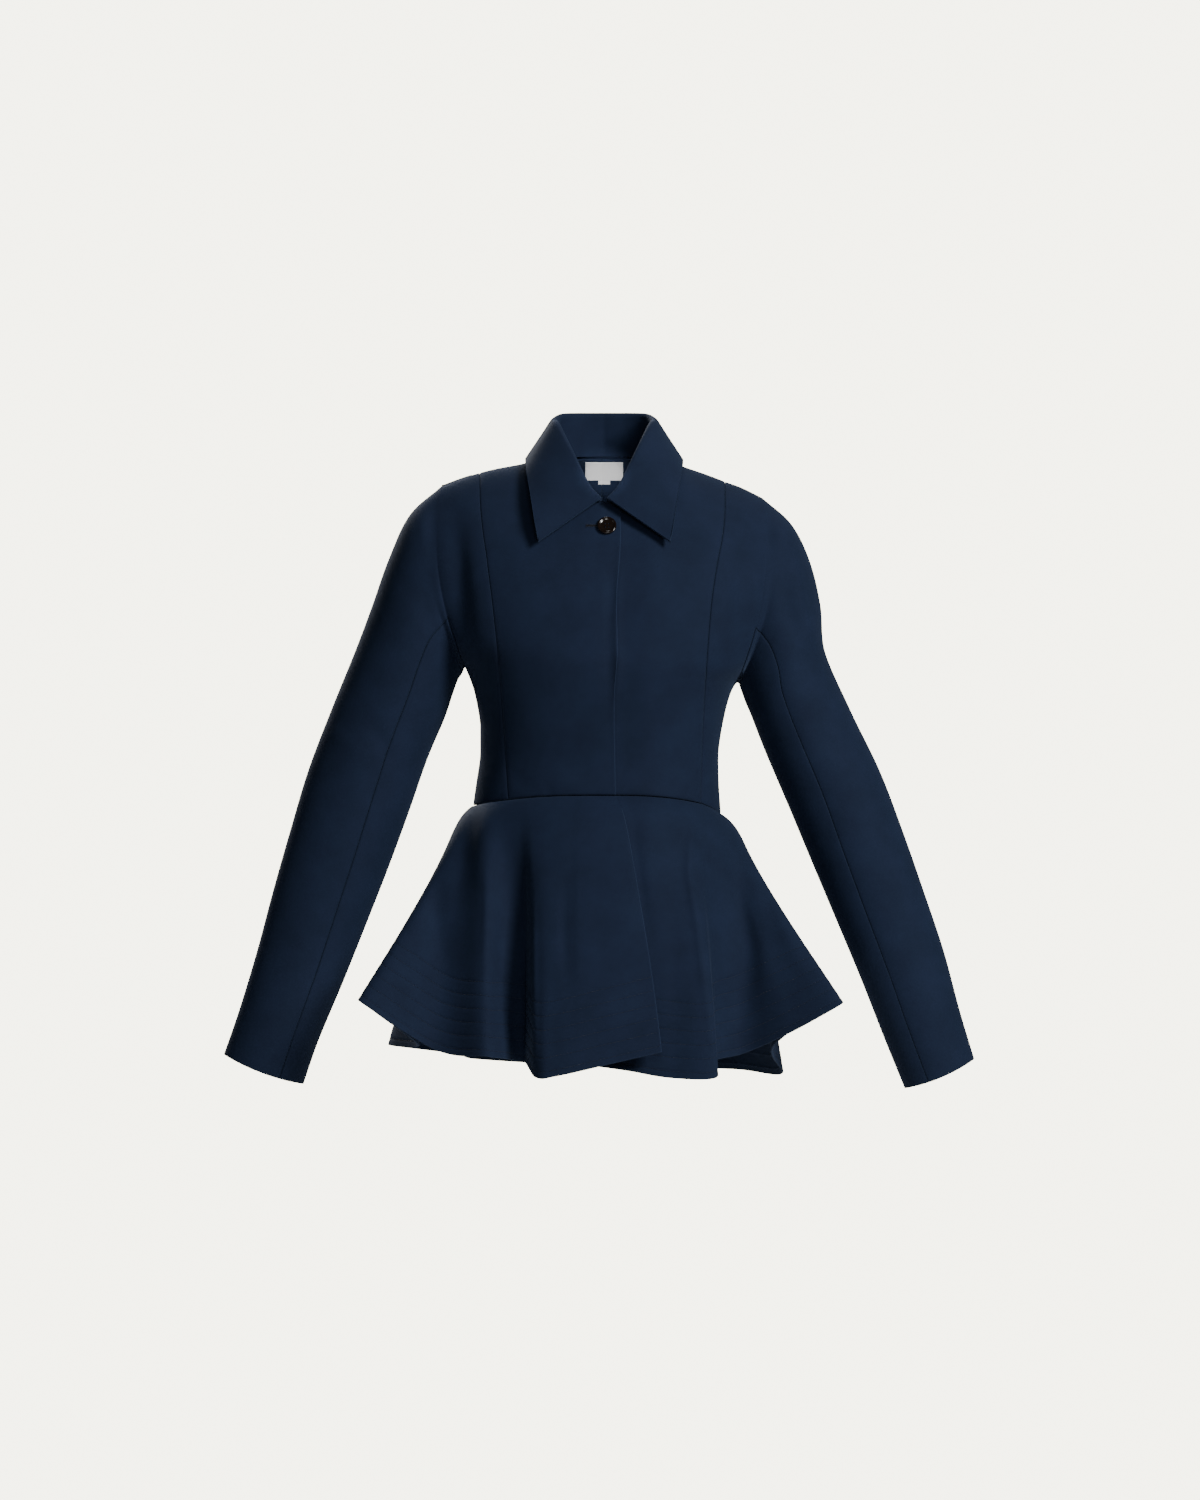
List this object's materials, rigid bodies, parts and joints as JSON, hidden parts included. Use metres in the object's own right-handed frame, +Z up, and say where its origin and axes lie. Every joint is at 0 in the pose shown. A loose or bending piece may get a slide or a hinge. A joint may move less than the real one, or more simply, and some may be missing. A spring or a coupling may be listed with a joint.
{
  "type": "peplum jacket",
  "caption": "Fitted long-sleeved jacket with a fluted flared peplum, pointed collar and a concealed front, held open in its worn form.",
  "frame": {"origin": "between the shoulders at the foot of the collar, where the wearer's shoulders hold it up", "axes": "+X to the wearer's left, +Y to the wearer's back, +Z up"},
  "size_m": [0.8032, 0.4265, 0.723],
  "materials": {
    "wool_cloth": "matte fine crepe with a soft sheen",
    "button_horn": "polished dark",
    "label_tape": "plain woven satin tape"
  },
  "bodies": {
    "root": {"centre_front_right": "wool_cloth", "centre_front_left": "wool_cloth", "side_front_sleeve_right": "wool_cloth", "side_front_sleeve_left": "wool_cloth", "side_back_sleeve_right": "wool_cloth", "side_back_sleeve_left": "wool_cloth", "undersleeve_right": "wool_cloth", "undersleeve_left": "wool_cloth", "centre_back_right": "wool_cloth", "centre_back_left": "wool_cloth", "peplum_front_right": "wool_cloth", "peplum_front_left": "wool_cloth", "peplum_back_right": "wool_cloth", "peplum_back_left": "wool_cloth", "collar": "wool_cloth", "button": "button_horn", "neck_label": "label_tape", "size_tab": "label_tape"}
  },
  "joints": []
}
